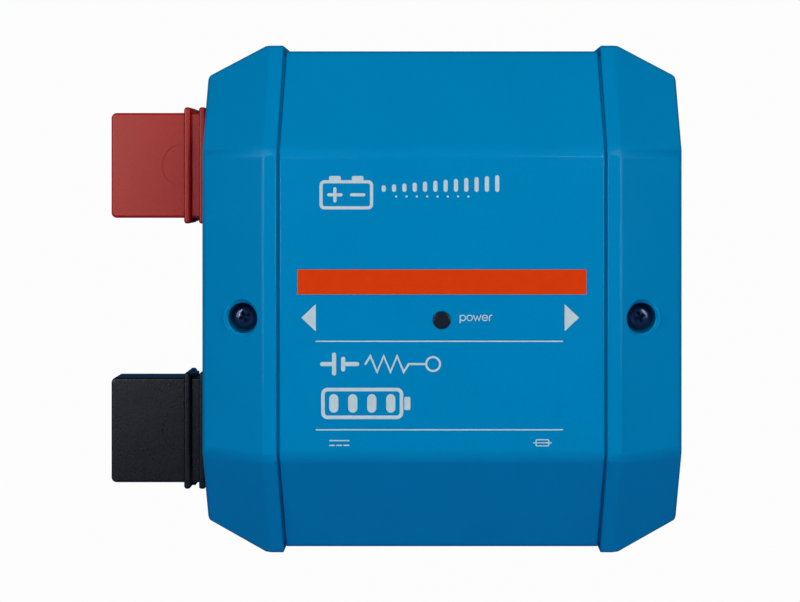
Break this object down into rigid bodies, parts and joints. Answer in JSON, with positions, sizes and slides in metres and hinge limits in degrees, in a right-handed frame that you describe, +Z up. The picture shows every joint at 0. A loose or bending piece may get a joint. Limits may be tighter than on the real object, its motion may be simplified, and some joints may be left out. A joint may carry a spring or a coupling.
{
  "type": "battery monitor shunt",
  "caption": "Wall-mounted DC busbar module with a main fuse, a shunt and a battery monitor board under a lift-off plastic cover.",
  "frame": {"origin": "centre of the back face that lies on the wall", "axes": "+X to the right and +Z up as seen from the front, +Y into the wall, so the front faces -Y"},
  "size_m": [0.216, 0.08, 0.1912],
  "materials": {
    "blue_abs": "moulded ABS with a fine spark-eroded grain",
    "red_plastic": "soft moulded plastic, satin",
    "black_plastic": "soft moulded plastic, satin",
    "black_rubber": "matte",
    "clear_plastic": "smoked acrylic, polished",
    "tinned_copper": "tin-plated copper, drawn",
    "brass": "milled",
    "manganin": "rolled strip",
    "zinc_steel": "zinc-plated",
    "dark_steel": "black passivated",
    "fuse_ceramic": "unglazed",
    "green_board": "solder mask over glass laminate",
    "connector_nylon": "moulded",
    "relay_case": "moulded",
    "lamp_lens": "tinted epoxy"
  },
  "bodies": {
    "base": {"base_tray": "blue_abs", "cable_grommet": "black_rubber", "threaded_insert_left": "brass", "threaded_insert_right": "brass", "positive_bar_left": "tinned_copper", "positive_bar_right": "tinned_copper", "negative_bar_left": "tinned_copper", "negative_bar_right": "tinned_copper", "fuse_body": "fuse_ceramic", "fuse_blade_left": "tinned_copper", "fuse_blade_right": "tinned_copper", "shunt_block_left": "brass", "shunt_block_right": "brass", "shunt_blade_1": "manganin", "shunt_blade_2": "manganin", "shunt_blade_3": "manganin", "shunt_blade_4": "manganin", "stud_fuse_left": "zinc_steel", "stud_fuse_right": "zinc_steel", "stud_shunt_left": "zinc_steel", "stud_shunt_right": "zinc_steel", "stud_output_positive": "zinc_steel", "stud_output_negative": "zinc_steel", "washer_fuse_left": "zinc_steel", "washer_fuse_right": "zinc_steel", "washer_shunt_left": "zinc_steel", "washer_shunt_right": "zinc_steel", "washer_output_positive": "zinc_steel", "washer_output_negative": "zinc_steel", "nut_fuse_left": "zinc_steel", "nut_fuse_right": "zinc_steel", "nut_shunt_left": "zinc_steel", "nut_shunt_right": "zinc_steel", "nut_output_positive": "zinc_steel", "nut_output_negative": "zinc_steel", "bar_support_upper_left": "black_plastic", "bar_support_upper_right": "black_plastic", "bar_support_lower_left": "black_plastic", "bar_support_lower_right": "black_plastic", "circuit_board": "green_board", "board_standoff_left": "brass", "board_standoff_right": "brass", "data_jack_left": "zinc_steel", "data_jack_right": "zinc_steel", "terminal_header": "connector_nylon", "alarm_relay": "relay_case", "controller_chip": "black_plastic", "status_led": "lamp_lens", "sense_wire": "red_plastic"},
    "cover": {"front_cover": "blue_abs", "led_light_pipe": "clear_plastic"},
    "washer_left": {"screw_washer_left": "dark_steel"},
    "washer_right": {"screw_washer_right": "dark_steel"},
    "screw_left": {"cover_screw_left": "dark_steel"},
    "screw_right": {"cover_screw_right": "dark_steel"},
    "red_cap": {"red_bar_cap": "red_plastic"},
    "black_cap": {"black_bar_cap": "black_plastic"},
    "plug": {"terminal_plug": "connector_nylon"}
  },
  "joints": [
    {"name": "cover_lift", "type": "slide", "parent": "base", "child": "cover", "axis": [0, -1, 0], "range_m": [0, 0.12]},
    {"name": "screw_left_rise", "type": "slide", "parent": "cover", "child": "washer_left", "axis": [0, -1, 0], "range_m": [0, 0.0064]},
    {"name": "screw_left_turn", "type": "hinge", "parent": "washer_left", "child": "screw_left", "pos_m": [-0.0724, -0.0661, -0.0052], "axis": [0, -1, 0], "range_deg": [0, 2880]},
    {"name": "screw_right_rise", "type": "slide", "parent": "cover", "child": "washer_right", "axis": [0, -1, 0], "range_m": [0, 0.0064]},
    {"name": "screw_right_turn", "type": "hinge", "parent": "washer_right", "child": "screw_right", "pos_m": [0.0724, -0.0661, -0.0052], "axis": [0, -1, 0], "range_deg": [0, 2880]},
    {"name": "red_cap_pull", "type": "slide", "parent": "base", "child": "red_cap", "axis": [-1, 0, 0], "range_m": [0, 0.045]},
    {"name": "black_cap_pull", "type": "slide", "parent": "base", "child": "black_cap", "axis": [-1, 0, 0], "range_m": [0, 0.045]},
    {"name": "plug_pull", "type": "slide", "parent": "base", "child": "plug", "axis": [0, 0, -1], "range_m": [0, 0.01]}
  ],
  "couplings": [
    {"joint": "screw_left_turn", "follows": "screw_left_rise", "rad_per_m": 7854},
    {"joint": "screw_right_turn", "follows": "screw_right_rise", "rad_per_m": 7854}
  ]
}
